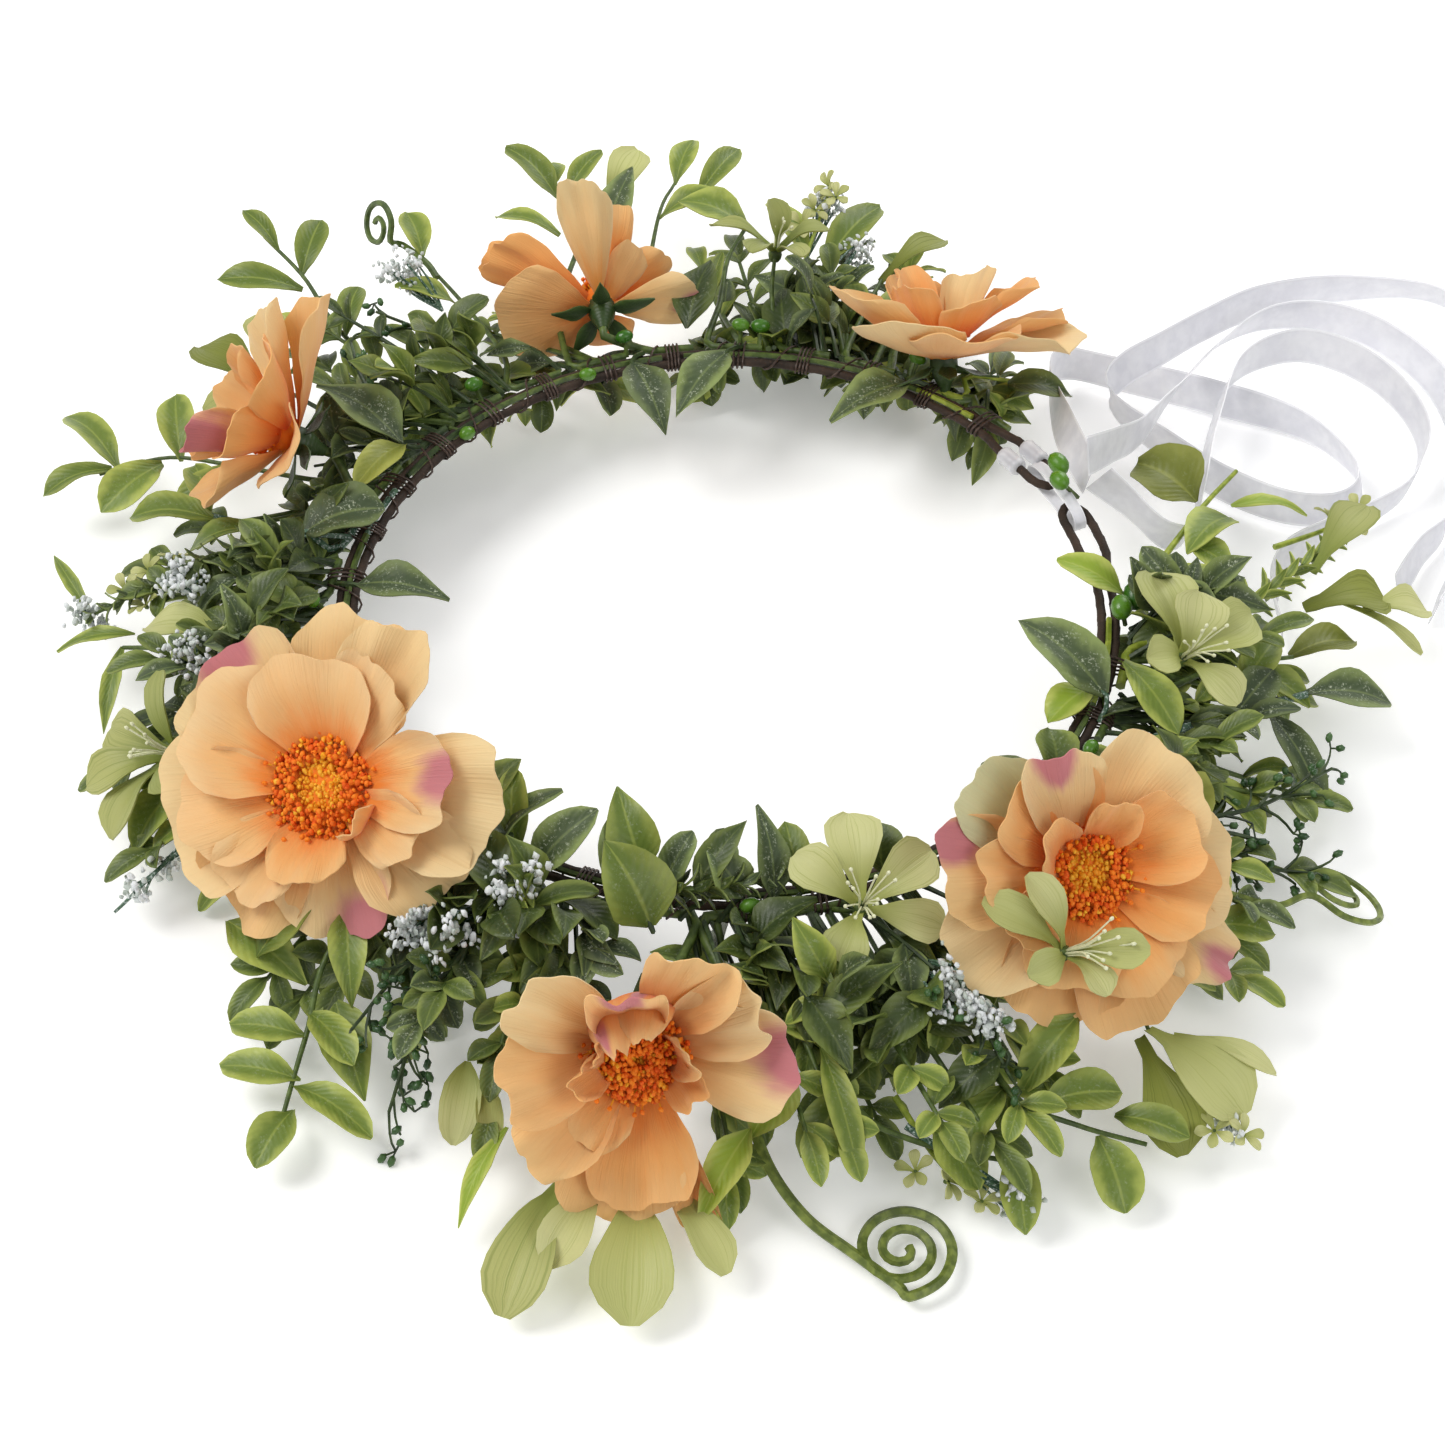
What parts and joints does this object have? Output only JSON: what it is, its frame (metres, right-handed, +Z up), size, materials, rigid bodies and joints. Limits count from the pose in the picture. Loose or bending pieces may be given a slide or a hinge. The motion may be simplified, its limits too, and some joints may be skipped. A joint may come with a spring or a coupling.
{
  "type": "flower crown",
  "caption": "Adjustable flower crown: a paper-wrapped wire hoop carrying silk blooms and moulded foliage sprigs, closed at the back by a ribbon tied through two end loops.",
  "frame": {"origin": "on the table, under the centre of the hoop", "axes": "+Z up out of the table, along the axis of the hoop; +Y towards the ribbon tie at the back of the head; -Y towards the large front bloom; +X is the third axis of the right-handed frame"},
  "size_m": [0.3951, 0.4179, 0.074],
  "materials": {
    "steel_wire": "bare annealed steel",
    "paper_tape": "dark brown crepe paper tape, matt",
    "binding_wire": "dark brown lacquered florist wire",
    "ribbon": "white satin-organza, slightly see-through",
    "petal_fabric": "cream to peach dyed silk cloth",
    "stamen_flock": "granular orange flock",
    "calyx_plastic": "dark green moulded plastic",
    "leaf_plastic": "soft moulded leaf, satin",
    "frosted_leaf_plastic": "moulded leaf with a white frosted bloom",
    "pale_blossom_plastic": "pale yellow-green moulded blossom",
    "dark_sprig_plastic": "dark green moulded sprig"
  },
  "bodies": {
    "root": {"hoop_core_wire": "steel_wire", "hoop_paper_wrap": "paper_tape", "binding_wire": "binding_wire", "ribbon_knot": "ribbon", "bloom_1_outer_petals": "petal_fabric", "bloom_1_inner_petals": "petal_fabric", "bloom_1_stamens": "stamen_flock", "bloom_1_calyx": "calyx_plastic", "bloom_2_outer_petals": "petal_fabric", "bloom_2_inner_petals": "petal_fabric", "bloom_2_stamens": "stamen_flock", "bloom_2_calyx": "calyx_plastic", "bloom_3_outer_petals": "petal_fabric", "bloom_3_inner_petals": "petal_fabric", "bloom_3_stamens": "stamen_flock", "bloom_3_calyx": "calyx_plastic", "bloom_4_outer_petals": "petal_fabric", "bloom_4_inner_petals": "petal_fabric", "bloom_4_stamens": "stamen_flock", "bloom_4_calyx": "calyx_plastic", "bloom_5_outer_petals": "petal_fabric", "bloom_5_inner_petals": "petal_fabric", "bloom_5_stamens": "stamen_flock", "bloom_5_calyx": "calyx_plastic", "bloom_6_outer_petals": "petal_fabric", "bloom_6_inner_petals": "petal_fabric", "bloom_6_stamens": "stamen_flock", "bloom_6_calyx": "calyx_plastic", "foliage_01": "leaf_plastic", "foliage_02": "leaf_plastic", "foliage_04": "leaf_plastic", "foliage_06": "leaf_plastic", "foliage_08": "leaf_plastic", "foliage_11": "leaf_plastic", "foliage_14": "leaf_plastic", "foliage_15": "leaf_plastic", "foliage_17": "leaf_plastic", "foliage_21": "leaf_plastic", "foliage_22": "leaf_plastic", "foliage_23": "leaf_plastic", "foliage_26": "leaf_plastic", "foliage_07": "frosted_leaf_plastic", "foliage_09": "frosted_leaf_plastic", "foliage_18": "frosted_leaf_plastic", "foliage_27": "frosted_leaf_plastic", "foliage_03": "pale_blossom_plastic", "foliage_13": "pale_blossom_plastic", "foliage_19": "pale_blossom_plastic", "foliage_25": "pale_blossom_plastic", "foliage_28": "pale_blossom_plastic", "foliage_12": "dark_sprig_plastic", "ribbon_tail_a": "ribbon", "ribbon_tail_b": "ribbon", "ribbon_tail_c": "ribbon"}
  },
  "joints": []
}
